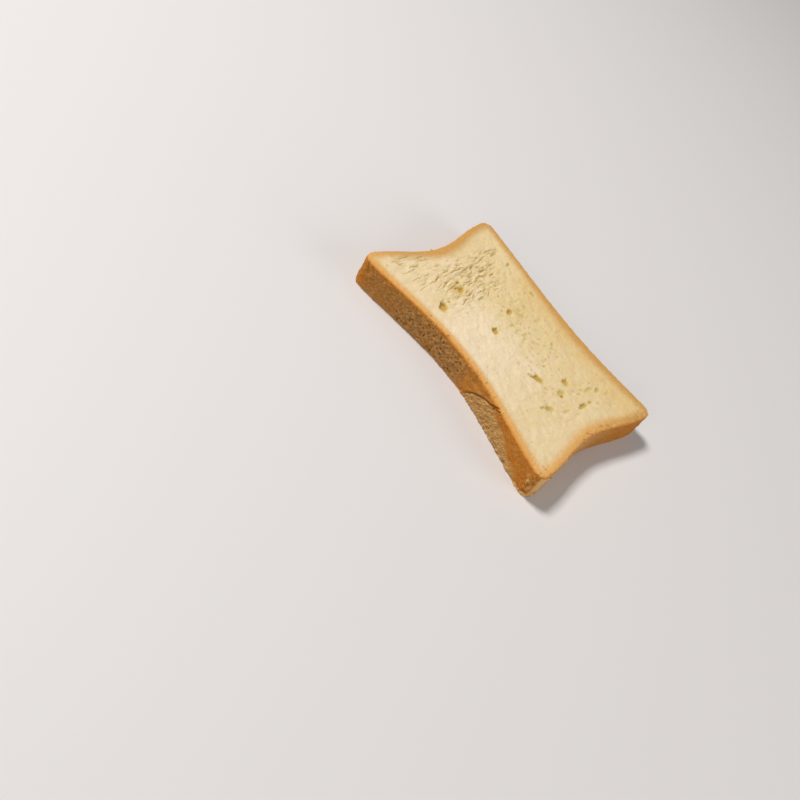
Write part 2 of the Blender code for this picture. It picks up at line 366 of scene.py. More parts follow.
# The small seams run in rows.  The top row passes TEAR_TOP at x = 0 and climbs by TEAR_SLANT.  Each row
# has how far it lies below that line, its left and right end, and how many seams it has.
TEAR_TOP = 40.3
TEAR_SLANT = 0.13
TEAR_ROWS = (
    (-14.5, -29.0, -15.0, 4),
    (-12.0, -28.0, -13.0, 7),
    (-9.0, -27.0, -10.0, 7),
    (-5.5, -26.0, 4.0, 4),
    (-2.6, -20.0, 31.0, 8),
    (0.0, -26.0, 31.0, 20),
    (2.2, -22.0, 29.0, 13),
    (4.6, -19.0, 24.0, 12),
    (7.0, -15.0, 24.0, 11),
    (9.4, -14.0, 24.0, 11),
    (12.0, -14.0, 20.0, 11),
    (14.8, -12.0, 17.0, 10),
    (17.6, -10.0, 14.0, 6),
)

# Lines on the left wall: place along it, and depth below the shown face.  The crack is one line, with
# pits where it meets the rim, which have a radius too.
LONG_CRACK = ((-26.6, 0.0), (-24.5, 1.8), (-22.3, 3.2), (-19.4, 4.3), (-16.4, 5.9), (-13.4, 8.2),
              (-11.2, 10.3), (-9.6, 12.6), (-8.8, 14.6))
CRACK_PITS = ((-24.6, 2.9, 0.55), (-26.3, 1.9, 0.5), (-27.8, 1.1, 0.35))
FAR_CREASE = ((56.2, 0.0), (55.6, 2.4), (54.0, 5.6))
NEAR_CREASE = ((-57.2, 6.6), (-57.6, 9.8), (-57.0, 12.6))

# Soft spots of the shown face: x and y, reach along each, and share.  They make the crumb more golden,
# open its pores, and let the strokes of the slicing knife show.
GOLDEN_SPOTS = ((13.0, 11.0, 9.0, 8.0, 0.15), (0.0, -33.0, 14.0, 9.0, 0.12), (-24.0, 23.0, 5.0, 6.0, 0.10),
                (-7.2, 30.2, 4.0, 3.6, 0.72))
OPEN_SPOTS = ((13.0, 2.0, 11.0, 16.0, 1.0), (0.0, -12.0, 14.0, 8.0, 0.8), (-4.0, 20.0, 18.0, 6.0, 0.7),
              (4.0, -36.0, 18.0, 10.0, 0.6))
BRUSHED_SPOTS = ((-14.0, 10.0, 16.0, 20.0, 0.65),)

# Pores of the shown face and of the underside: how many, their radius, their depth, and how much painted
# shade they get.
SHOWN_PORES = ((700, (0.45, 0.75), (0.12, 0.30), 0.40), (420, (0.55, 0.95), (0.20, 0.45), 0.70),
               (230, (0.9, 1.5), (0.35, 0.85), 0.66))
UNDERSIDE_PORES = ((500, (0.8, 1.3), (0.15, 0.4), 0.5), (30, (1.4, 2.4), (0.5, 1.4), 0.5))
PORES_OFF_EDGE = 4.0
PINHOLES = 1900

# Height and marks of the surface, with their value where nothing is marked.  The materials read the marks.
# The pit mark is painted shade in pits, pores, seams, dents, grooves and crevices.
MARKS = {"height": 0.0, "pit": 0.0, "tone": 0.0, "skin": 0.0, "torn": 0.0, "grain": 0.0, "rim": 0.0,
         "porous": 0.0, "crack": FAR_OFF, "seam": FAR_OFF, "seam_width": -1.0, "fold": 0.0}


@dataclass
class Surface:
    """One region of the slice's surface that is being worked: its places, heights and marks."""

    places: np.ndarray
    noise: SoftNoise
    height: np.ndarray = field(init=False)
    pit: np.ndarray = field(init=False)
    gap: np.ndarray = field(init=False)
    seam: np.ndarray = field(init=False)
    seam_width: np.ndarray = field(init=False)

    def __post_init__(self) -> None:
        """Start level and without marks."""
        self.height = np.zeros(len(self.places))
        self.pit = np.zeros(len(self.places))
        self.gap = np.full(len(self.places), FAR_OFF)
        self.seam = np.full(len(self.places), FAR_OFF)
        self.seam_width = np.full(len(self.places), -1.0)

    def marks(self) -> dict[str, np.ndarray]:
        """Name what has been worked into the surface."""
        return {"height": self.height, "pit": self.pit, "seam": self.seam, "seam_width": self.seam_width}

    def paint_shade(self, share: np.ndarray) -> None:
        """Paint shade into every place at least as strongly as this share, as into a pit."""
        self.pit = np.maximum(self.pit, share)

    def swell(self, amount: float, wave: float, weight: np.ndarray) -> None:
        """Raise and lower the surface softly.

        Args:
            amount: Largest change in millimetres.
            wave: Size of a bump in millimetres.
            weight: How much each place takes part.
        """
        self.height += amount * weight * self.noise.at(self.places, wave)

    def ridges(self, wave: float | tuple[float, float, float], shift: float, sharpness: float) -> np.ndarray:
        """Find worm-like lines that wander over the surface.

        Args:
            wave: Distance between lines in millimetres.
            shift: Moves the pattern, so that two patterns differ.
            sharpness: Share of a wave that a line is wide.

        Returns:
            1 on a line, falling to 0 beside it.
        """
        return np.exp(-(self.noise.at(self.places + shift, wave) / sharpness) ** 2)

    def seen_from(self, x: float, y: float, reach: float, turn: float) -> tuple[np.ndarray, ...]:
        """Find the places round a point and measure them from it.

        Args:
            x: The point in plan.
            y: The point in plan.
            reach: How far to look along X and Y.
            turn: Turn of a long axis from +X, in radians.

        Returns:
            Row of each place, its x and y from the point, and its place along and across the axis.
        """
        rows = np.flatnonzero((np.abs(self.places[:, :2] - (x, y)) < reach).all(axis=1))
        over = self.places[rows, 0] - x
        up = self.places[rows, 1] - y
        along = over * math.cos(turn) + up * math.sin(turn)
        across = up * math.cos(turn) - over * math.sin(turn)
        return rows, over, up, along, across

    def press(self, x: float, y: float, size: tuple[float, float, float], turn: float, ragged: np.ndarray,
              weight: np.ndarray, mark: float) -> None:
        """Press a scooped hole into a face: a steep far wall, and a floor that climbs to the near side.

        Args:
            x: Place in plan.
            y: Place in plan.
            size: Length, width and depth.
            turn: Turn of the long axis from +X, in radians.
            ragged: Unevenness of the outline at every place.
            weight: How much each place takes part.
            mark: How strongly the hole's painted shade shows.
        """
        length, width, depth = size
        rows, over, up, along, across = self.seen_from(x, y, 0.8 * max(length, width), turn)
        radius = np.hypot(2.0 * along / length, 2.0 * across / width) * (1.0 + ragged[rows])
        far_side = up / np.maximum(np.hypot(over, up), 0.05)
        reach_up = math.hypot(0.5 * length * math.sin(turn), 0.5 * width * math.cos(turn))
        lean = np.clip(up / reach_up, -1.0, 1.0)
        part = fade(radius, 1.25, 0.30 + 0.48 * far_side) * weight[rows]
        pressed = (1.0 - 0.6 * part) * self.height[rows] - depth * (0.76 + 0.24 * lean) * part
        self.height[rows] = np.minimum(self.height[rows], pressed)
        # Painted shade in the hole, reaching further out and stronger on its far wall, which the light from
        # the far end misses.
        paint_shade = fade(radius, 1.28 + 0.12 * far_side, 0.42 + 0.46 * far_side) * weight[rows]
        self.pit[rows] = np.maximum(self.pit[rows], paint_shade * mark * (0.74 + 0.26 * lean))

    def tear(self, seam: Tear, wobble: np.ndarray, weight: np.ndarray) -> None:
        """Open a torn seam: a narrow gap between two dips, with a lip on the near side.

        Args:
            seam: The torn seam.
            wobble: Sideways wander of the seam at every place.
            weight: How much each place takes part.
        """
        rows, _, _, along, across = self.seen_from(seam.x, seam.y, seam.length, math.radians(seam.turn))
        part = weight[rows]
        across = across + wobble[rows] * 0.55
        taper = np.sqrt(np.clip(1.0 - (2.0 * along / seam.length) ** 2, 0.0, 1.0))
        past_end = np.maximum(np.abs(along) - seam.length / 2.0, 0.0)
        past_side = np.abs(across) - 0.5 * seam.width * taper
        gap = np.hypot(past_side, past_end)
        gap = np.where((past_end > 0.0) | (past_side > 0.0), gap, -gap)
        lip = fade(taper, 0.0, 0.6) * np.exp(-((across + 0.75) / 0.42) ** 2)
        self.height[rows] += part * seam.depth * (0.62 * lip - 0.8 * fade(gap, 0.45, -0.15))
        # Painted shade in and beside the gap.
        self.pit[rows] = np.maximum(self.pit[rows], 0.38 * fade(gap, 0.75, -0.1) * part)
        gap = gap + FAR_OFF * (1.0 - part)
        closer = gap < self.gap[rows]
        open_width = np.where((np.abs(across) < 0.8) & (past_end < 0.3), 0.5 * seam.width * taper, -1.0)
        self.gap[rows] = np.where(closer, gap, self.gap[rows])
        self.seam[rows] = np.where(closer, across, self.seam[rows])
        self.seam_width[rows] = np.where(closer, open_width, self.seam_width[rows])


class Face(Enum):
    """The regions of the slice's surface."""

    SHOWN = "shown"
    UNDERSIDE = "underside"
    WALL = "wall"


class Element(Enum):
    """The elements of a mesh that are selected, by where the mesh keeps them."""

    EDGE = "edges"
    FACE = "polygons"


# For each kind of node, the inputs that are given in order, and the output that is read.
SOCKETS = {
    "TexCoord": ((), "Object"),
    "Attribute": ((), "Fac"),
    "TexNoise": (("Vector", "Scale", "Detail", "Roughness", "Distortion"), "Fac"),
    "TexVoronoi": (("Vector", "Scale"), "Distance"),
    "Math": ((0, 1, 2), "Value"),
    "VectorMath": ((0, 1, 2), "Vector"),
    "MapRange": (("Value", "From Min", "From Max", "To Min", "To Max"), "Result"),
    "Mix": ((0, 6, 7), 2),
    "ValToRGB": (("Fac",), "Color"),
    "SeparateColor": (("Color",), "Red"),
    "Bump": (("Height", "Strength", "Distance"), "Normal"),
}


@dataclass
class NodeTree:
    """A new material and its shader nodes, with one way to add a node."""

    name: str
    material: bpy.types.Material = field(init=False)

    def __post_init__(self) -> None:
        """Start the material with the one shader that it comes with."""
        self.material = bpy.data.materials.new(self.name)
        self.material.use_nodes = True

    def feed(self, node: bpy.types.Node, inputs: dict[int | str, Any]) -> None:
        """Set or link inputs of a node.

        Args:
            node: The node.
            inputs: Socket name or number to a fixed value, a hex colour or the output that feeds it.
        """
        for socket, value in inputs.items():
            if isinstance(value, bpy.types.NodeSocket):
                self.material.node_tree.links.new(value, node.inputs[socket])
            else:
                node.inputs[socket].default_value = hex_colour(value) if isinstance(value, str) else value

    def add(self, kind: str, *values: Any, out: str = "", **settings: Any) -> bpy.types.NodeSocket:
        """Add one node with its settings and links.

        Args:
            kind: Blender's name of the node type, after ShaderNode.
            values: What its inputs get, in the order of SOCKETS, each as feed takes it.
            out: The output that is read, where it isn't the one in SOCKETS.
            settings: The node's own settings; stops fills a colour ramp.

        Returns:
            The node's output.
        """
        made = self.material.node_tree.nodes.new("ShaderNode" + kind)
        stops = settings.pop("stops", ())
        for name, value in settings.items():
            setattr(made, name, value)
        sockets, usual_out = SOCKETS[kind]
        self.feed(made, dict(zip(sockets, values)))
        if stops:
            ramp = made.color_ramp
            while len(ramp.elements) < len(stops):
                ramp.elements.new(0.5)
            for element, (place, colour) in zip(ramp.elements, stops):
                element.position = place
                element.color = hex_colour(colour)
        return made.outputs[out or usual_out]

    def surface(self, inputs: dict[int | str, Any]) -> bpy.types.Material:
        """Feed the shader.

        Args:
            inputs: Its inputs, as feed takes them.

        Returns:
            The finished material.
        """
        self.feed(self.material.node_tree.nodes["Principled BSDF"], inputs)
        return self.material


@dataclass(frozen=True)
class CrumbFinish:
    """Toasted white crumb on the cut faces.

    White wheat bread, sliced and lightly toasted: a matt, open foam of thin gluten
    films, cream with a pinkish cast where it is palest and yellow where it is
    thicker or toasted.  Light sinks a millimetre or so into it, so it looks soft.
    The crust's browning ends in a band of even width along the edge.
    Its pits, pores and torn seams carry painted shade as well as their depth.
    """

    tones: tuple = ((0.0, "#F0DAB8"), (0.30, "#E8CFA0"), (0.55, "#E4C892"), (0.80, "#E2BE80"),
                    (1.0, "#E2AA44"))
    # Painted shade of pits, pores, seams and dents, warmer and darker the more deeply they are marked.
    hollow_shades: tuple = ((0.0, "#E9D5A8"), (0.30, "#D9C68A"), (0.65, "#C9AA5A"), (1.0, "#B68730"))
    light_band: str = "#E4AC61"
    dark_band: str = "#CE9B54"
    band_edge: str = "#D8954A"
    band_start: float = 0.35
    band_end: float = 1.40
    roughness: float = 0.9
    ior: float = 1.45
    # Painted shade in the gaps of the torn seams.
    tear: str = "#A37D30"
    # Painted shade in the pores.
    pore_shade: str = "#C3A465"
    # Sizes in millimetres.  The toasting varies over a few of them, and the band's edge wanders as slowly.
    mottle: float = 3.4
    wander: float = 3.0
    # Real crumb has films and pores of 0.1 to 0.5 mm, too fine to show in the render: they are drawn as
    # coarse as they need to be.
    grain: float = 0.8
    foam: float = 0.8
    pore_gap: float = 2.3
    ragged: float = 1.3

    def make(self) -> bpy.types.Material:
        """Build the material.

        Returns:
            The crumb's material.
        """
        tree = NodeTree("toasted white crumb")
        add = tree.add
        place = add("TexCoord")
        tone, depth, baking, pit, openness, seam, seam_width = (
            add("Attribute", attribute_name=name)
            for name in ("tone", "crust_depth", "baking", "pit", "porous", "seam", "seam_width"))

        mottle = add("TexNoise", place, per_metre(self.mottle), 4.0, 0.6)
        mottle = add("Math", mottle, 0.62, -0.31, operation="MULTIPLY_ADD")
        toned = add("Math", tone, mottle, operation="ADD")
        colour = add("ValToRGB", toned, stops=self.tones)

        wander = add("TexNoise", place, per_metre(self.wander), 5.0, 0.65)
        wander = add("Math", wander, 0.5, -0.25, operation="MULTIPLY_ADD")
        band_place = add("Math", depth, wander, operation="ADD")
        band = add("Mix", baking, self.light_band, self.dark_band, data_type="RGBA")
        edge_share = add("MapRange", depth, 0.28, 0.0, 0.0, 0.8)
        band = add("Mix", edge_share, band, self.band_edge, data_type="RGBA")
        band_share = add("MapRange", band_place, self.band_end, self.band_start,
                         interpolation_type="SMOOTHSTEP")
        colour = add("Mix", band_share, colour, band, data_type="RGBA")

        grain = add("TexNoise", place, per_metre(self.grain), 4.0, 0.7)
        light = add("MapRange", grain, 0.3, 0.7, 0.93, 1.04)
        colour = add("VectorMath", colour, light, operation="MULTIPLY")
        # Painted shade in the marked pits, pores, seams and dents.
        hollow = add("ValToRGB", pit, stops=self.hollow_shades)
        pit_shade_share = add("MapRange", pit, 0.0, 0.7, 0.0, 0.95)
        colour = add("Mix", pit_shade_share, colour, hollow, data_type="RGBA")

        # Pores, drawn as painted shade and as a dent in the bump; more open where the crumb is more porous.
        ragged = add("TexNoise", place, per_metre(self.ragged), 2.0, out="Color")
        shifted = add("VectorMath", ragged, (1.5 * MM, 1.5 * MM, 0.0), place, operation="MULTIPLY_ADD")
        cells = add("TexVoronoi", shifted, per_metre(self.pore_gap), voronoi_dimensions="2D")
        chance = add("SeparateColor", cells.node.outputs["Color"])
        reach = add("MapRange", chance, 0.32, 1.0, 0.0, 0.50)
        reach = add("Math", reach, openness, operation="MULTIPLY")
        inside = add("Math", reach, cells, operation="SUBTRACT")
        pore_share = add("MapRange", inside, 0.0, 0.32, 0.0, 0.56, interpolation_type="SMOOTHSTEP")
        colour = add("Mix", pore_share, colour, self.pore_shade, data_type="RGBA")
        # Painted shade along the torn seams' gaps.
        off_seam = add("Math", seam, operation="ABSOLUTE")
        seam_gap = add("Math", off_seam, seam_width, operation="SUBTRACT")
        tear_share = add("MapRange", seam_gap, 0.14, -0.12, 0.0, 0.64)
        colour = add("Mix", tear_share, colour, self.tear, data_type="RGBA")

        foam = add("TexVoronoi", place, per_metre(self.foam))
        foam_rise = add("MapRange", foam, 0.0, 0.35)
        even = add("Math", foam_rise, 0.4, grain, operation="MULTIPLY_ADD")
        opened = add("Math", pore_share, 0.45, tear_share, operation="MULTIPLY_ADD")
        rise = add("Math", opened, -1.8, even, operation="MULTIPLY_ADD")
        bump = add("Bump", rise, 0.7, 0.14 * MM)
        return tree.surface({"Base Color": colour, "Normal": bump, "Roughness": self.roughness,
                             "IOR": self.ior, "Specular IOR Level": 0.25, "Subsurface Weight": 0.18,
                             "Subsurface Radius": (1.0, 0.72, 0.3), "Subsurface Scale": 1.0 * MM})


@dataclass(frozen=True)
class CrustFinish:
    """Baked crust on the walls of the slice.

    The loaf's skin, dried and browned against the pan: matt, golden where it is
    smooth, duller brown where it is pebbly, and pale tan where it has torn and
    wrinkled.  Its pinholes, crack, creases and fold troughs get a dark reddish
    painted shade, and its rim a painted highlight.  Its raised grains and crests are
    lighter, partly in their own colour and partly as painted highlight.
    """

    pebbly: str = "#B2742C"
    golden: str = "#C07A20"
    amber: str = "#BC6E19"
    torn: str = "#D6A25C"
    # Lighter grains and showing crumb; also a painted highlight on raised worms and crests, and painted
    # light on the near wall's left end.
    grain: str = "#E0B377"
    # Painted shade in the troughs of the torn skin's folds.
    valley_shade: str = "#9E692D"
    # Painted shade, dark reddish brown, in pinholes, the crack, creases and crevices.
    pinhole_shade: str = "#6A3811"
    # Painted highlight along the rim.
    rim: str = "#DA9446"
    roughness: float = 0.8
    ior: float = 1.45
    # Sizes in millimetres.
    mottle: float = 6.0
    crumple: float = 3.4
    # The skin's flecks, pinholes and wrinkles are as fine as 0.2 mm, too fine to show in the render: they
    # are drawn as coarse as they need to be.
    fleck: float = 0.9
    pinhole_gap: float = 1.3
    wrinkle: float = 1.2
    fold: float = 0.9

    def make(self) -> bpy.types.Material:
        """Build the material.

        Returns:
            The crust's material.
        """
        tree = NodeTree("baked pan crust")
        add = tree.add
        place = add("TexCoord")
        skin, torn, grains, rim, pit, porous, crack, fold = (
            add("Attribute", attribute_name=name)
            for name in ("skin", "torn", "grain", "rim", "pit", "porous", "crack", "fold"))

        mottle = add("TexNoise", place, per_metre(self.mottle), 4.0)
        mottle = add("MapRange", mottle, 0.38, 0.62)
        smooth = add("Mix", mottle, self.golden, self.amber, data_type="RGBA")
        colour = add("Mix", skin, self.pebbly, smooth, data_type="RGBA")
        colour = add("Mix", torn, colour, self.torn, data_type="RGBA")
        flecks = add("TexNoise", place, per_metre(self.fleck), 4.0, 0.7)
        light = add("MapRange", flecks, 0.3, 0.7, 0.80, 1.16)
        colour = add("VectorMath", colour, light, operation="MULTIPLY")
        # Lighter grains and crumb, partly painted highlight on raised worms and crests and painted light on
        # the near wall's left end.
        colour = add("Mix", grains, colour, self.grain, data_type="RGBA")
        # Painted highlight along the rim.
        colour = add("Mix", rim, colour, self.rim, data_type="RGBA")

        dots = add("TexVoronoi", place, per_metre(self.pinhole_gap))
        chance = add("SeparateColor", dots.node.outputs["Color"])
        reach = add("MapRange", chance, 0.22, 1.0, 0.12, 0.60)
        reach = add("Math", reach, porous, operation="MULTIPLY")
        inside = add("Math", reach, dots, operation="SUBTRACT")
        dot_share = add("MapRange", inside, 0.0, 0.08)
        # Painted shade in the pinholes, along the crack and in the walls' marked pits.
        crack_share = add("MapRange", crack, 0.38, 0.14)
        dark = add("Math", dot_share, crack_share, operation="MAXIMUM")
        shade_share = add("Math", dark, pit, operation="MAXIMUM")
        colour = add("Mix", shade_share, colour, self.pinhole_shade, data_type="RGBA")

        worms = add("TexNoise", place, per_metre(self.wrinkle), 1.0, 0.5, 1.2)
        worms = add("Math", worms, 0.5, operation="SUBTRACT")
        worms = add("Math", worms, operation="ABSOLUTE")
        worms = add("MapRange", worms, 0.085, 0.0, interpolation_type="SMOOTHSTEP")
        worms = add("Math", porous, worms, operation="MULTIPLY")
        crumple = add("TexNoise", place, per_metre(self.crumple), 2.0, 0.6)
        crumple = add("Math", crumple, 2.4, fold, operation="MULTIPLY_ADD")
        wave = add("Math", crumple, 0.5 * self.fold, operation="PINGPONG")
        crests = add("MapRange", wave, 0.26, 0.5 * self.fold, 0.0, 0.85, interpolation_type="SMOOTHSTEP")
        crests = add("Math", torn, crests, operation="MULTIPLY")
        troughs = add("MapRange", wave, 0.20, 0.0, 0.0, 0.60, interpolation_type="SMOOTHSTEP")
        troughs = add("Math", torn, troughs, operation="MULTIPLY")
        ridged = add("Math", worms, crests, operation="MAXIMUM")
        low = add("Math", dark, troughs, operation="MAXIMUM")
        relief = add("Math", ridged, low, operation="SUBTRACT")
        relief = add("Math", relief, 1.6, flecks, operation="MULTIPLY_ADD")
        bump = add("Bump", relief, 0.9, 0.2 * MM)
        # Painted shade in the troughs of the torn skin's folds.
        colour = add("Mix", troughs, colour, self.valley_shade, data_type="RGBA")
        # Painted highlight on the raised worms and fold crests, partly the crust's own lighter grains.
        ridged = add("Math", ridged, 0.72, operation="MULTIPLY")
        colour = add("Mix", ridged, colour, self.grain, data_type="RGBA")
        return tree.surface({"Base Color": colour, "Normal": bump, "Roughness": self.roughness,
                             "IOR": self.ior, "Specular IOR Level": 0.18, "Subsurface Weight": 0.06,
                             "Subsurface Radius": (1.0, 0.55, 0.25), "Subsurface Scale": 0.8 * MM})


@dataclass
class ToastSlice:
    """The slice of bread: a fine block, caved in, pressed and torn."""

    form: SliceForm
    columns: int = 184
    rows: int = 276
    levels: int = 34
    noise: SoftNoise = field(default_factory=lambda: SoftNoise(7))
    piece: bpy.types.Object | None = None
    straight: np.ndarray | None = None
    order: np.ndarray | None = None

    def build(self) -> bpy.types.Object:
        """Model the slice.

        Returns:
            The finished, undressed object.
        """
        self.piece = self.blank()
        straight = self.straight = self.read_places()
        # Blender numbers new vertices differently in each run, so the draws go by their places in the block.
        form = self.form
        spacing = (form.width / self.columns, form.length / self.rows, form.thickness / self.levels)
        self.order = np.lexsort(np.round(straight / spacing).T)
        region = self.regions(straight)
        base = self.rounded(straight, region)
        self.write_places(base)
        normals = self.read_normals()
        marks = self.relief(straight, base, region)
        self.write_places(base + normals * marks.pop("height")[:, None])
        marks["wall"] = region[Face.WALL].astype(float)
        for name, values in marks.items():
            self.mark(name, values)
        return self.piece

    def blank(self) -> bpy.types.Object:
        """Make the straight block: a fine sheet, drawn up to the slice's height.

        Returns:
            The block, with fewer faces on its underside.
        """
        bpy.ops.object.select_all(action="DESELECT")
        bpy.ops.mesh.primitive_grid_add(x_subdivisions=self.columns, y_subdivisions=self.rows, size=1.0)
        block = bpy.context.object
        block.name = block.data.name = "bread_slice"
        bpy.ops.object.mode_set(mode="EDIT")
        bpy.ops.mesh.select_all(action="SELECT")
        bpy.ops.transform.resize(value=(self.form.width * MM, self.form.length * MM, 1.0))
        rise = (0.0, 0.0, self.form.thickness * MM)
        bpy.ops.mesh.extrude_region_move(TRANSFORM_OT_translate={"value": rise})
        bpy.ops.object.mode_set(mode="OBJECT")
        heights = read(block.data.vertices, "co", 3)[read(block.data.edges, "vertices", 2, int), 2]
        self.select(block, Element.EDGE, np.abs(heights[:, 0] - heights[:, 1]) > 0.5 * MM)
        bpy.ops.mesh.subdivide(number_cuts=self.levels - 1)
        bpy.ops.object.mode_set(mode="OBJECT")
        self.select(block, Element.FACE, read(block.data.polygons, "center", 3)[:, 2] < 0.01 * MM)
        bpy.ops.mesh.unsubdivide(iterations=2)
        bpy.ops.mesh.select_all(action="SELECT")
        bpy.ops.mesh.normals_make_consistent(inside=False)
        bpy.ops.object.mode_set(mode="OBJECT")
        bpy.ops.object.shade_smooth()
        return block

    @staticmethod
    def select(block: bpy.types.Object, element: Element, chosen: np.ndarray) -> None:
        """Select just these edges or faces and go to edit mode.

        Args:
            block: The object.
            element: Whether edges or faces are selected.
            chosen: For each of them whether it is selected.
        """
        bpy.ops.object.mode_set(mode="EDIT")
        bpy.ops.mesh.select_mode(type=element.name)
        bpy.ops.mesh.select_all(action="DESELECT")
        bpy.ops.object.mode_set(mode="OBJECT")
        getattr(block.data, element.value).foreach_set("select", chosen)
        bpy.ops.object.mode_set(mode="EDIT")

    def read_places(self) -> np.ndarray:
        """Read the vertices, in millimetres."""
        return read(self.piece.data.vertices, "co", 3) / MM

    def read_normals(self) -> np.ndarray:
        """Read the vertices' outward directions."""
        return read(self.piece.data.vertices, "normal", 3)

    def write_places(self, places: np.ndarray) -> None:
        """Write the vertices, moved so that the middle of the outline is the origin.

        Args:
            places: Places in the straight block's frame, in millimetres.
        """
        middle = np.append(self.form.middle(), 0.0)
        self.piece.data.vertices.foreach_set("co", ((places - middle) * MM).ravel())
        self.piece.data.update()

    def mark(self, name: str, values: np.ndarray) -> None:
        """Store one number for each vertex, for the materials to read."""
        made = self.piece.data.attributes.new(name, "FLOAT", "POINT")
        made.data.foreach_set("value", values.astype(np.float32))

    def regions(self, straight: np.ndarray) -> dict[Face, np.ndarray]:
        """Sort the vertices of the straight block into its regions.

        Args:
            straight: Places in the straight block.

        Returns:
            For each region whether a vertex belongs to it; the rims belong to the walls.
        """
        half = np.array([self.form.width, self.form.length]) / 2.0
        wall = (np.abs(np.abs(straight[:, :2]) - half) < 0.01).any(axis=1)
        top = straight[:, 2] > self.form.thickness - 0.01
        bottom = straight[:, 2] < 0.01
        return {Face.SHOWN: top & ~wall, Face.UNDERSIDE: bottom & ~wall, Face.WALL: wall}

    def rounded(self, straight: np.ndarray, region: dict[Face, np.ndarray]) -> np.ndarray:
        """Round the corners and rims of the straight block and cave its sides in.

        Args:
            straight: Places in the straight block.
            region: The vertices of each region.

        Returns:
            The same places on the rounded, caved slice.
        """
        form = self.form
        flat = form.round_corners(straight[:, :2])
        inset, way = form.inset(flat)
        level = straight[:, 2]
        upper = level > form.thickness / 2.0
        radius = np.where(upper, form.rim_radius, form.foot_radius)
        from_rim = np.minimum(level, form.thickness - level)
        edge_share = np.clip(1.0 - inset / radius, 0.0, 1.0)
        rise_share = np.clip(1.0 - from_rim / radius, 0.0, 1.0)

        on_wall = region[Face.WALL]
        face_inset = np.where(inset < radius, radius * (1.0 - edge_share / math.sqrt(2.0)), inset)
        face_drop = radius * (1.0 - np.sqrt(1.0 - edge_share ** 2 / 2.0))
        wall_inset = radius * (1.0 - np.sqrt(1.0 - rise_share ** 2 / 2.0))
        wall_drop = np.where(from_rim < radius, radius * (1.0 - rise_share / math.sqrt(2.0)), from_rim)
        new_inset = np.where(on_wall, wall_inset, face_inset)
        drop = np.where(on_wall, wall_drop, face_drop)

        flat = flat - way * (new_inset - inset)[:, None]
        height = np.where(upper, form.thickness - drop, drop)
        return np.column_stack([form.cave(flat), height])

    def relief(self, straight: np.ndarray, base: np.ndarray,
               region: dict[Face, np.ndarray]) -> dict[str, np.ndarray]:
        """Work out the fine relief of the whole surface, and the marks that its colours follow.

        Args:
            straight: Places in the straight block.
            base: The same places on the rounded, caved slice.
            region: The vertices of each region.

        Returns:
            Height along the surface's normal, and each mark by its name.
        """
        marks = {name: np.full(len(base), unmarked) for name, unmarked in MARKS.items()}
        marks["crust_depth"] = self.form.crust_depth(straight[:, :2])
        marks["baking"] = self.form.baking(straight[:, :2])
        works = {Face.SHOWN: self.shown_face, Face.UNDERSIDE: self.underside, Face.WALL: self.walls}
        for face, work in works.items():
            rows = self.order[region[face][self.order]]
            surface = Surface(base[rows], self.noise)
            found = work(surface, straight[rows])
            for name, values in (found | surface.marks()).items():
                marks[name][rows] = values

        above = fade(base[:, 2], 0.3, 1.5)
        marks["height"] += above * (0.09 * self.noise.at(base, 1.5) + 0.10 * self.noise.at(base + 9.0, 3.6))
        return marks

    def shown_face(self, surface: Surface, straight: np.ndarray) -> dict[str, np.ndarray]:
        """Work the shown face: crumb, layers and torn seams at the far end, holes, pores.

        Args:
            surface: The face that is worked.
            straight: The same places in the straight block.

        Returns:
            The marks of how yellow and how porous the crumb is.
        """
        crust = self.form.crust_depth(straight[:, :2])
        inner = fade(crust, 0.75, 1.35)
        places = surface.places
        x, y = places[:, 0], places[:, 1]
        self.crumb_ground(surface, fade(crust, 0.5, 1.7))

        # The rim's band: uneven, a little raised, with sunk specks, most at its near end, that get painted
        # shade.
        surface.swell(0.22, 1.3, 1.0 - 0.65 * inner)
        surface.height += 0.16 * fade(crust, 0.0, 0.35) * fade(crust, 1.0, 0.45)
        near_end = fade(y, -44.0, -52.0)
        specks = fade(self.noise.at(places + 61.0, 1.2), 0.30, 0.55) * (1.0 - inner)
        surface.height -= 0.35 * specks * (0.4 + 0.6 * near_end)
        surface.paint_shade(0.35 * specks * (0.2 + 0.8 * near_end))

        slow = self.noise.at(places + 50.0, 9.0)
        torn_zone = self.torn_zone(places, slow) * inner
        self.layers(surface, torn_zone, slow)
        brushed = inner * (1.0 - torn_zone) * (0.35 + self.spots(places, BRUSHED_SPOTS))
        surface.height += 0.16 * brushed * self.noise.at(self.turned(places, 52.0) + 7.0, (4.2, 1.2, 50.0))

        self.pores(surface, inner)
        wobble = self.noise.at(places, 2.6) + 0.4 * self.noise.at(places, 1.3)
        behind_crust = fade(crust, 0.5, 1.0)
        for seam in TEARS + self.small_tears():
            surface.tear(seam, wobble, behind_crust)
        ragged = 0.34 * self.noise.at(places + 11.0, 1.8) + 0.20 * self.noise.at(places, 1.0)
        everywhere = np.ones(len(places))
        # Each hole gets painted shade, more for deeper holes.
        for hole in HOLES:
            size = (1.04 * hole.length, 1.14 * hole.width, 0.80 * hole.depth)
            mark = min(1.0, 0.42 + 0.38 * hole.depth)
            surface.press(hole.x, hole.y, size, math.radians(hole.turn), ragged, everywhere, mark)

        slow_tones = (0.25 * fade(y, -2.0, -40.0), 0.20 * fade(y, 16.0, 32.0), 0.40 * fade(x, -14.0, 18.0))
        tone = 0.04 + np.maximum.reduce(slow_tones) + 0.24 * fade(x, 18.0, 29.0) * fade(y, 34.0, 16.0)
        tone += 0.08 * slow + self.spots(places, GOLDEN_SPOTS)
        openness = 0.42 + self.spots(places, OPEN_SPOTS) + 0.5 * self.noise.at(places + 44.0, 6.0)
        return {"tone": tone, "porous": inner * np.clip(openness, 0.0, 1.1)}

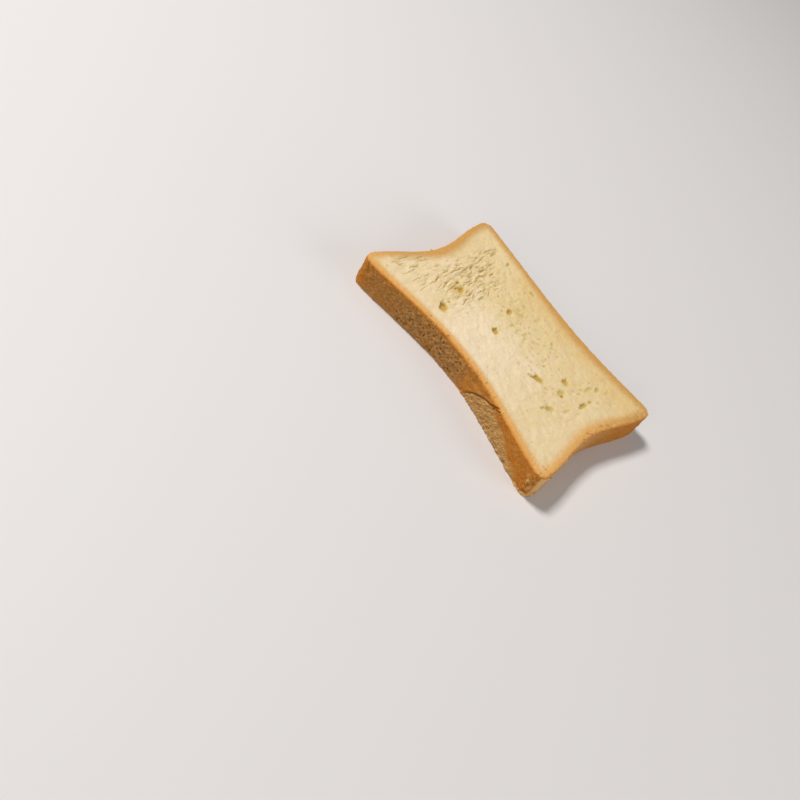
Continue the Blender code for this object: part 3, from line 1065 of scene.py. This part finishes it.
    def crumb_ground(self, surface: Surface, inner: np.ndarray) -> None:
        """Give a cut face the slow and the fine unevenness of crumb.

        Args:
            surface: The face that is worked.
            inner: Weight of the crumb inside the crust.
        """
        surface.height -= 0.22 * inner
        for amount, wave in ((0.45, 13.0), (0.46, 5.5), (0.28, 2.7)):
            surface.swell(amount, wave, inner)
        dimple = inner * fade(self.noise.at(surface.places + 27.0, 2.1), -0.28, -0.60)
        surface.height -= 0.22 * dimple
        # Painted shade in the dimples.
        surface.paint_shade(0.14 * dimple)

    def layers(self, surface: Surface, torn_zone: np.ndarray, slow: np.ndarray) -> None:
        """Raise the loaf's layers, which run across the slice and lie open where it has torn.

        Args:
            surface: The face that is worked.
            torn_zone: Weight of the torn end.
            slow: Unevenness that bends the layers.
        """
        x, y = surface.places[:, 0], surface.places[:, 1]
        layer = y - 0.14 * x + 1.3 * slow + 1.0 * self.noise.at(surface.places + 33.0, (6.0, 3.0, 50.0))
        bent = np.column_stack([x, layer, 0.0 * x])
        for wave, shift, depth in (((6.0, 1.8, 50.0), 0.0, 0.44), ((4.0, 1.1, 50.0), 70.0, 0.38)):
            rise = self.noise.at(bent + shift, wave)
            surface.height += depth * torn_zone * (rise - 0.9 * fade(rise, -0.30, -0.55))
            # Painted shade in the layers' low parts.
            surface.paint_shade(0.20 * torn_zone * fade(rise, -0.25, -0.55))

    @staticmethod
    def spots(places: np.ndarray, table: tuple[tuple[float, ...], ...]) -> np.ndarray:
        """Weigh places by soft spots.

        Args:
            places: Places on a face.
            table: For each spot its x and y, its reach along each, and its share.

        Returns:
            The sum of the spots at each place.
        """
        total = np.zeros(len(places))
        for x, y, wide, high, share in table:
            total += share * np.exp(-((places[:, 0] - x) / wide) ** 2 - ((places[:, 1] - y) / high) ** 2)
        return total

    @staticmethod
    def turned(places: np.ndarray, degrees: float) -> np.ndarray:
        """Turn places in plan, so that a pattern along X runs at an angle.

        Args:
            places: Places on a face.
            degrees: The angle from +X.

        Returns:
            The turned places, at height 0.
        """
        turn = math.radians(degrees)
        along = places[:, 0] * math.cos(turn) + places[:, 1] * math.sin(turn)
        across = places[:, 1] * math.cos(turn) - places[:, 0] * math.sin(turn)
        return np.column_stack([along, across, 0.0 * along])

    @staticmethod
    def torn_zone(places: np.ndarray, slow: np.ndarray) -> np.ndarray:
        """Weigh how torn the far end of the shown face is.

        Args:
            places: Places on the face.
            slow: Unevenness of the zone's edge.

        Returns:
            Weights between 0 and 1.
        """
        level = places[:, 1] - 0.12 * places[:, 0] + 3.0 * slow
        along = fade(level, 17.0, 27.0) * fade(level, 48.0, 39.0)
        across = fade(places[:, 0], -29.0, -12.0) * fade(places[:, 0], 34.0, 16.0)
        return along * across

    @staticmethod
    def small_tears() -> tuple[Tear, ...]:
        """Draw the many short seams between the large ones.

        Returns:
            The seams of every row.
        """
        draw = np.random.default_rng(23)
        seams = []
        for drop, left, right, count in TEAR_ROWS:
            for _ in range(count):
                x = draw.uniform(left, right)
                y = TEAR_TOP + TEAR_SLANT * x - drop + draw.normal(0.0, 0.8)
                seams.append(Tear(x, y, draw.uniform(1.2, 4.4), draw.normal(6.0, 9.0),
                                  draw.uniform(0.04, 0.26), draw.uniform(0.15, 0.50)))
        return tuple(seams)

    def pores(self, surface: Surface, inner: np.ndarray) -> None:
        """Press the crumb's own pores with painted shade in them, deeper and darker towards the middle of
        the right side.

        Args:
            surface: The face that is worked.
            inner: Weight of the crumb inside the crust.
        """
        draw = np.random.default_rng(5)
        ragged = 0.35 * self.noise.at(surface.places + 31.0, 1.1)
        half = np.array([self.form.width, self.form.length]) / 2.0 - PORES_OFF_EDGE
        for count, radii, depths, mark in SHOWN_PORES:
            for _ in range(count):
                x, y = draw.uniform(-half[0], half[0]), draw.uniform(-half[1], half[1])
                width = 2.0 * draw.uniform(*radii)
                length = width * draw.uniform(1.0, 2.4)
                open_place = math.exp(-((x - 14.0) / 17.0) ** 2 - ((y - 4.0) / 24.0) ** 2)
                strength = min(1.0, 0.30 + 0.85 * open_place) * draw.uniform(0.3, 1.0)
                size = (length, width, draw.uniform(*depths) * strength)
                surface.press(x, y, size, draw.normal(0.2, 0.35), ragged, inner, mark * strength)

    def underside(self, surface: Surface, straight: np.ndarray) -> dict[str, np.ndarray]:
        """Work the underside: crumb and pores that only go inwards, so that it lies flat.

        Args:
            surface: The face that is worked.
            straight: The same places in the straight block.

        Returns:
            The marks of how yellow and how porous the crumb is.
        """
        inner = fade(self.form.crust_depth(straight[:, :2]), 0.75, 1.35)
        surface.height -= 0.12 * inner * (1.0 + self.noise.at(surface.places, 4.0))
        draw = np.random.default_rng(17)
        ragged = 0.35 * self.noise.at(surface.places, 1.4)
        half = np.array([self.form.width, self.form.length]) / 2.0 - PORES_OFF_EDGE
        for count, radii, depths, mark in UNDERSIDE_PORES:
            for _ in range(count):
                x, y = draw.uniform(-half[0], half[0]), draw.uniform(-half[1], half[1])
                width = 2.0 * draw.uniform(*radii)
                size = (width * draw.uniform(1.0, 2.0), width, draw.uniform(*depths))
                surface.press(x, y, size, draw.uniform(-1.0, 1.0), ragged, inner, mark)
        surface.height = np.minimum(surface.height, 0.0)
        slow = self.noise.at(surface.places, 12.0)
        return {"tone": 0.24 + 0.1 * slow, "porous": inner * (0.7 + 0.6 * slow)}

    def walls(self, surface: Surface, straight: np.ndarray) -> dict[str, np.ndarray]:
        """Work the crust of the four walls.

        Args:
            surface: The walls' surface.
            straight: The same places in the straight block.

        Returns:
            The marks of smooth golden skin, of torn skin, of raised grains (partly painted highlight, and
            painted light on the near wall's left end), of the rim's painted highlight and of the crack.
        """
        form, places = self.form, surface.places
        along, below = straight[:, 1], form.thickness - straight[:, 2]
        middle = fade(below, 0.3, 1.6) * fade(below, form.thickness - 0.2, form.thickness - 1.4)
        on_left = (straight[:, 0] < 0.01 - form.width / 2.0).astype(float)
        on_long = (np.abs(np.abs(straight[:, 0]) - form.width / 2.0) < 0.01).astype(float)
        slow = self.noise.at(places + 40.0, 8.0)

        # Where the skin is smooth, torn or pebbly.  It has torn past the long crack, below a smooth strip.
        wall_places = np.column_stack([along, below])
        distance, past = self.line_distance(wall_places, LONG_CRACK)
        beyond = on_left * fade(past, -0.1, 0.5)
        torn_start = 2.2 + 7.0 * fade(along, -27.0, -49.0)
        torn = beyond * fade(along, -52.0, -46.0) * fade(below + 1.5 * slow - torn_start, 0.0, 3.6)
        skin = np.maximum.reduce([
            fade(below + slow, 3.0, 1.4) * 0.8,
            on_left * fade(along, -1.0, -8.0) * (1.0 - beyond) * 0.85,
            beyond * (1.0 - torn),
            on_left * fade(along, 52.0, 55.5),
            (1.0 - on_long) * 0.75,
        ])
        pebbly = middle * on_long * (1.0 - 0.85 * skin) * (1.0 - torn)
        coarse = 0.40 + 0.60 * on_left * fade(np.abs(along - 8.0), 38.0, 16.0)

        # Swells that leave the corners' outline alone, and worm-like ridges.
        off_corners = middle * (1.0 - 0.85 * fade(np.abs(along), 47.0, 56.0))
        surface.swell(0.30, 10.0, off_corners)
        surface.swell(0.18, 3.6, off_corners)
        surface.swell(0.34, 1.5, middle * (1.0 - 0.75 * skin))
        worms = np.maximum(surface.ridges(2.0, 3.0, 0.14), 0.8 * surface.ridges(1.3, 8.0, 0.12))
        worms *= pebbly * coarse + 0.6 * torn
        surface.height += 0.32 * worms
        # Raised worms get the lighter grain colour, partly as painted highlight.
        grain = 0.50 * worms

        # Folds of the torn skin, which follow the crack.
        bent = past + 0.9 * self.noise.at(places + 5.0, 5.0) + 0.5 * self.noise.at(places, 2.0)
        folds = self.noise.at(np.column_stack([along, bent, 0.0 * along]), (3.4, 1.5, 50.0))
        surface.height += torn * (0.14 * np.exp(-(folds / 0.16) ** 2) + 0.12 * folds - 0.16)
        # Fold crests get the lighter grain colour, partly as painted highlight, and fold troughs painted
        # shade.
        grain = np.maximum(grain, 0.30 * torn * np.exp(-(folds / 0.14) ** 2))
        surface.paint_shade(0.16 * torn * fade(folds, -0.25, -0.55))

        # The crack with its curled edges, its pits, and the creases of the corners, each with painted shade
        # in its groove.
        surface.height += on_left * 0.20 * fade(distance, 2.2, 0.5) * fade(past, 0.2, -0.2)
        surface.height += on_left * 0.16 * np.exp(-((past - 0.9) / 0.35) ** 2) * fade(distance, 1.6, 1.0)
        crack = distance + 0.12 * np.abs(self.noise.at(places, 2.2)) + 0.25 * fade(below, 9.0, 14.0)
        self.groove(surface, crack, on_left, 0.8, 0.24, 0.45)
        crack = np.where(on_left > 0.5, crack, FAR_OFF)
        wander = 0.5 * np.abs(self.noise.at(places, 2.0))
        for route, depth in ((FAR_CREASE, 0.5), (NEAR_CREASE, 0.3)):
            crease, _ = self.line_distance(wall_places, route)
            self.groove(surface, crease + wander, on_left, depth, 0.32, 0.9 * depth)
        for spot_along, spot_below, radius in CRACK_PITS:
            self.groove(surface, np.hypot(along - spot_along, below - spot_below), on_left, 0.9, radius, 0.8)

        # The crumbled near left corner: pale lumps with painted shade in the crevices between them.
        corner = fade(np.hypot(along + 59.0, 0.8 * (places[:, 0] + 36.0)), 7.0, 3.5) * fade(below, 1.5, 4.5)
        lumps = self.noise.at(places + 2.0, 1.7)
        surface.height += 0.36 * corner * lumps
        grain = np.maximum(grain, 0.7 * corner * fade(lumps, 0.15, 0.4))
        surface.paint_shade(0.32 * corner * fade(lumps, -0.2, -0.5))

        # The ragged lower edge, with crumb showing along its near half.
        ragged_foot = fade(below, form.thickness - 2.6, form.thickness - 0.2)
        edge_noise = self.noise.at(places, (1.4, 1.4, 30.0)) + 0.8 * self.noise.at(places, (3.2, 3.2, 30.0))
        near_half = on_left * fade(along, 6.0, -24.0)
        surface.height += 0.50 * ragged_foot * edge_noise * (0.35 + 0.65 * near_half)
        foot = fade(below + 0.9 * edge_noise, form.thickness - 1.5, form.thickness - 0.7)
        grain = np.maximum(grain, foot * (0.25 + 0.75 * near_half))
        grain = np.maximum(grain, self.pinholes(surface, coarse, pebbly + 0.25 * middle * skin, torn))

        # The rim's painted highlight, and painted light on the left end of the near wall.
        browned = on_left * np.exp(-((along - 24.0) / 13.0) ** 2)
        rim = fade(below + 0.35 * slow + 0.5 * self.noise.at(places, 1.4), 1.15, 0.15)
        rim *= 1.0 - 0.55 * browned
        patches = fade(self.noise.at(places + 21.0, 3.2), -0.25, 0.45)
        porous = np.maximum(pebbly * coarse * (0.45 + 0.55 * patches), 0.22 * middle * (1.0 - torn))
        painted_light_end = (1.0 - on_long) * fade(along, 0.0, -1.0) * fade(straight[:, 0], 26.0, -26.0)
        grain = np.maximum(grain, middle * painted_light_end * (0.90 + 0.2 * slow))
        return {"skin": skin, "torn": torn, "grain": grain, "rim": rim, "porous": porous, "crack": crack,
                "fold": on_left * bent}

    @staticmethod
    def groove(surface: Surface, distance: np.ndarray, weight: np.ndarray, depth: float, radius: float,
               mark: float) -> None:
        """Cut a narrow groove and paint shade into it.

        Args:
            surface: The surface that is cut.
            distance: Distance of every place from the groove's line.
            weight: How much each place takes part.
            depth: The groove's depth.
            radius: Half its width.
            mark: How strongly its painted shade shows.
        """
        share = fade(distance, radius + 0.25, 0.5 * radius) * weight
        surface.height -= depth * share
        surface.paint_shade(mark * share)

    @staticmethod
    def line_distance(places: np.ndarray, route: tuple) -> tuple[np.ndarray, np.ndarray]:
        """Measure places on a wall against a crack.

        Args:
            places: Distance along the wall and below the shown face, one row each.
            route: The crack's own places.

        Returns:
            Distance from the crack, and how far a place lies past it towards the near, lower side.
        """
        best = np.full(len(places), 1e9)
        past = np.zeros(len(places))
        for start, end in zip(route, route[1:]):
            a, b = np.array(start), np.array(end)
            run = b - a
            share = np.clip((places - a) @ run / (run @ run), 0.0, 1.0)
            gap = places - (a + share[:, None] * run)
            distance = np.linalg.norm(gap, axis=1)
            side = (gap[:, 1] * run[0] - gap[:, 0] * run[1]) / np.linalg.norm(run)
            closer = distance < best
            best = np.where(closer, distance, best)
            past = np.where(closer, side, past)
        return best, past

    @staticmethod
    def pinholes(surface: Surface, coarse: np.ndarray, porous: np.ndarray, torn: np.ndarray) -> np.ndarray:
        """Prick the walls full of pinholes with painted shade in them, and leave small grains between them.

        Args:
            surface: The walls' surface.
            coarse: How large the pinholes are.
            porous: Weight of the pinholes.
            torn: Mark of the torn skin.

        Returns:
            Mark of the raised grains.
        """
        draw = np.random.default_rng(3)
        grain = np.zeros(len(coarse))
        weight = np.maximum(porous, 0.35 * torn)
        spots = np.flatnonzero(weight > 0.08)
        for spot in draw.choice(spots, PINHOLES):
            centre = surface.places[spot] + draw.normal(0.0, 0.2, 3)
            radius = draw.uniform(0.34, 0.44 + 0.20 * coarse[spot])
            depth = draw.uniform(0.15, 0.45) * (0.5 + 0.6 * coarse[spot])
            near = np.flatnonzero(np.abs(surface.places - centre).max(axis=1) < radius * 1.3)
            gap = np.linalg.norm(surface.places[near] - centre, axis=1)
            share = fade(gap / radius, 1.15, 0.3) * weight[near]
            if draw.random() < 0.3:
                surface.height[near] += 0.45 * depth * share
                grain[near] = np.maximum(grain[near], 0.6 * share)
            else:
                surface.height[near] -= depth * share
                surface.pit[near] = np.maximum(surface.pit[near], share * depth / 1.2)
        return grain

    def dress(self, crumb: bpy.types.Material, crust: bpy.types.Material) -> None:
        """Give the cut faces their crumb and the walls their crust.

        Args:
            crumb: Material of the cut faces.
            crust: Material of the walls.
        """
        data = self.piece.data
        data.materials.append(crumb)
        data.materials.append(crust)
        data.polygons.foreach_set("material_index", self.wall_faces().astype(np.int32))
        data.update()

    def wall_faces(self) -> np.ndarray:
        """Tell which faces were part of the block's walls.

        Returns:
            For each face whether all its corners are marked as wall.
        """
        data = self.piece.data
        marks = read(data.attributes["wall"].data, "value")
        corners = read(data.loops, "vertex_index", 1, int)
        return np.minimum.reduceat(marks[corners], read(data.polygons, "loop_start", 1, int)) > 0.5


@dataclass(frozen=True)
class SpeckFinish:
    """Toasted crumbs: dry, matt specks of the loaf, from cream to golden brown."""

    pale: str = "#DDB272"
    golden: str = "#C58A40"
    roughness: float = 0.85
    ior: float = 1.45
    # A crumb in two tones: the patches are as large as a crumb, in millimetres, so that crumbs differ.
    patch: float = 1.6

    def make(self) -> bpy.types.Material:
        """Build the material.

        Returns:
            The crumbs' material.
        """
        tree = NodeTree("toasted crumbs")
        patches = tree.add("TexNoise", tree.add("TexCoord"), per_metre(self.patch), 3.0)
        share = tree.add("MapRange", patches, 0.35, 0.65)
        colour = tree.add("Mix", share, self.pale, self.golden, data_type="RGBA")
        bump = tree.add("Bump", patches, 0.6, 0.1 * MM)
        return tree.surface({"Base Color": colour, "Normal": bump, "Roughness": self.roughness,
                             "IOR": self.ior})


@dataclass(frozen=True)
class Cluster:
    """Crumbs in one region of the straight block: its lowest and highest corner, and how many."""

    low: tuple[float, float, float]
    high: tuple[float, float, float]
    count: int


# Where crumbs cling: along the near rim, at the near corners, along the left rim and foot, and at the
# far rim.
CLUSTERS = (
    Cluster((-30.0, -60.3, 13.2), (34.0, -58.0, 14.7), 16),
    Cluster((-6.0, -60.3, 13.0), (14.0, -57.0, 14.7), 20),
    Cluster((-40.1, -60.3, 2.0), (-30.0, -55.0, 14.7), 20),
    Cluster((30.0, -60.3, 12.5), (40.1, -52.0, 14.7), 6),
    Cluster((-40.1, -12.0, 13.4), (-38.0, 26.0, 14.7), 18),
    Cluster((-40.1, -60.0, 13.6), (-38.4, 58.0, 14.7), 12),
    Cluster((-40.1, -30.0, 11.8), (-39.9, -24.0, 14.0), 6),
    Cluster((-40.1, -56.0, 0.4), (-39.9, -8.0, 1.6), 5),
    Cluster((-34.0, 58.5, 13.6), (34.0, 60.3, 14.7), 6),
)


@dataclass
class Crumbs:
    """The toasted crumbs that cling to the slice, each one half sunk in its surface."""

    bread: ToastSlice
    clusters: tuple[Cluster, ...] = CLUSTERS
    radius: tuple[float, float] = (0.22, 0.46)
    sunk: float = 0.05
    piece: bpy.types.Object | None = None

    def build(self) -> bpy.types.Object:
        """Model one crumb, copy it to every place and join the copies.

        Returns:
            All crumbs as one object.
        """
        draw = np.random.default_rng(41)
        model = self.model()
        straight, places, normals = self.bread.straight, self.bread.read_places(), self.bread.read_normals()
        copies = []
        for cluster in self.clusters:
            held = (straight >= cluster.low).all(axis=1) & (straight <= cluster.high).all(axis=1)
            for spot in draw.choice(self.bread.order[held[self.bread.order]], cluster.count):
                radius = draw.uniform(*self.radius) * draw.choice((0.8, 1.0, 1.25))
                centre = places[spot] + normals[spot] * radius * self.sunk
                centre[2] = max(centre[2], 1.2 * radius)
                stretch = radius * draw.uniform((0.8, 0.7, 0.6), (1.3, 1.0, 0.9))
                copies.append(self.copy(model, centre, stretch, Quaternion(draw.normal(size=4))))
        bpy.data.objects.remove(model)
        bpy.ops.object.select_all(action="DESELECT")
        for crumb in copies:
            crumb.select_set(True)
        bpy.context.view_layer.objects.active = copies[0]
        bpy.ops.object.join()
        self.piece = bpy.context.object
        self.piece.name = self.piece.data.name = "clinging_crumbs"
        return self.piece

    @staticmethod
    def model() -> bpy.types.Object:
        """Model one lumpy crumb of radius 1 mm.

        Returns:
            The crumb.
        """
        bpy.ops.object.select_all(action="DESELECT")
        bpy.ops.mesh.primitive_ico_sphere_add(subdivisions=2, radius=MM)
        crumb = bpy.context.object
        places = read(crumb.data.vertices, "co", 3) / MM
        places *= (1.0 + 0.55 * SoftNoise(11).at(places, 0.9))[:, None]
        crumb.data.vertices.foreach_set("co", (places * MM).ravel())
        bpy.ops.object.shade_smooth()
        return crumb

    @staticmethod
    def copy(model: bpy.types.Object, centre: np.ndarray, stretch: np.ndarray,
             turn: Quaternion) -> bpy.types.Object:
        """Copy the crumb, with its own mesh.

        Args:
            model: The crumb that is copied.
            centre: Where the copy goes, in millimetres.
            stretch: Its size along each of its axes.
            turn: How it is turned.

        Returns:
            The copy, with its place in its mesh.
        """
        crumb = model.copy()
        crumb.data = model.data.copy()
        size = Matrix.Diagonal(Vector(stretch.tolist())).to_4x4()
        crumb.data.transform(Matrix.Translation(centre * MM) @ turn.normalized().to_matrix().to_4x4() @ size)
        bpy.context.scene.collection.objects.link(crumb)
        return crumb

    def dress(self, finish: bpy.types.Material) -> None:
        """Give the crumbs their finish."""
        self.piece.data.materials.append(finish)


@dataclass
class Stage:
    """Pale floor, soft studio light and the photo's camera."""

    form: SliceForm
    floor_size: float = 12.0
    floor_colour: str = "#E2DDDA"
    floor_roughness: float = 0.6
    surround: float = 0.15
    light_colour: str = "#FFFFFF"
    # Each lamp's name, place and side in metres, and power in watts.
    lamps: tuple = (("key", (-0.25, 0.80, 1.25), 0.32, 18.4), ("side fill", (-1.25, -0.30, 0.55), 0.80, 3.7),
                    ("near fill", (0.45, -1.20, 0.50), 0.80, 6.0))
    # The camera from the middle of the straight block's top, in millimetres, with its own right and up.
    camera_place: tuple[float, float, float] = (-288.4, -105.4, 244.4)
    camera_right: tuple[float, float, float] = (0.7137, -0.5762, 0.3983)
    camera_up: tuple[float, float, float] = (0.2991, 0.7648, 0.5706)
    sensor: float = 36.0
    focal_pixels: float = 907.46
    image_pixels: float = 800.0
    clip: tuple[float, float] = (0.01, 50.0)

    def build(self) -> None:
        """Set up floor, lights and camera."""
        self.floor()
        self.lights()
        self.camera()

    def floor(self) -> None:
        """Lay a wide, plain floor under the slice."""
        bpy.ops.object.select_all(action="DESELECT")
        bpy.ops.mesh.primitive_plane_add(size=self.floor_size)
        floor = bpy.context.object
        floor.name = "floor"
        # Matt and pale, so that the slice's soft shadow and its warm colours show.
        tree = NodeTree("pale matt floor")
        floor.data.materials.append(tree.surface({"Base Color": self.floor_colour,
                                                  "Roughness": self.floor_roughness}))

    def lights(self) -> None:
        """Hang one large soft light over the far end, and fill in from all round."""
        world = bpy.data.worlds.new("soft surround")
        world.use_nodes = True
        background = world.node_tree.nodes["Background"]
        background.inputs["Color"].default_value = hex_colour(self.light_colour)
        background.inputs["Strength"].default_value = self.surround
        bpy.context.scene.world = world
        for name, place, size, power in self.lamps:
            self.lamp(name, Vector(place), size, power)

    def lamp(self, name: str, place: Vector, size: float, power: float) -> None:
        """Hang a square soft light that points at the slice.

        Args:
            name: Its name.
            place: Where it hangs, in metres.
            size: Its side, in metres.
            power: Its power, in watts.
        """
        data = bpy.data.lights.new(name, "AREA")
        data.size = size
        data.energy = power
        data.color = hex_colour(self.light_colour)[:3]
        light = bpy.data.objects.new(name, data)
        light.location = place
        light.rotation_mode = "QUATERNION"
        light.rotation_quaternion = (-place).to_track_quat("-Z", "Y")
        bpy.context.scene.collection.objects.link(light)

    def camera(self) -> None:
        """Put the camera where the photo was taken from, seen from the slice."""
        data = bpy.data.cameras.new("photo camera")
        data.sensor_width = self.sensor
        data.lens = self.focal_pixels / self.image_pixels * self.sensor
        camera = bpy.data.objects.new("photo camera", data)
        right, up = Vector(self.camera_right).normalized(), Vector(self.camera_up).normalized()
        back = right.cross(up)
        turn = Matrix((right, up, back)).transposed()
        middle = self.form.middle()
        place = Vector(self.camera_place) + Vector((-middle[0], -middle[1], self.form.thickness))
        camera.matrix_world = Matrix.Translation(place * MM) @ turn.to_4x4()
        data.clip_start, data.clip_end = self.clip
        bpy.context.scene.collection.objects.link(camera)
        bpy.context.scene.camera = camera
        bpy.context.scene.view_settings.view_transform = "Standard"


def main() -> None:
    """Build the slice, its crumbs and the stage."""
    logging.basicConfig(level=logging.INFO, format="%(name)s: %(message)s")
    form = SliceForm()
    bread = ToastSlice(form)
    piece = bread.build()
    bread.dress(CrumbFinish().make(), CrustFinish().make())
    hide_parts(SLICE_NODE)
    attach(piece, "root")
    LOG.info("%s: %d vertices", piece.name, len(piece.data.vertices))
    crumbs = Crumbs(bread)
    specks = crumbs.build()
    crumbs.dress(SpeckFinish().make())
    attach(specks, "root")
    LOG.info("%s: %d vertices", specks.name, len(specks.data.vertices))
    Stage(form).build()


if __name__ == "__main__":
    main()
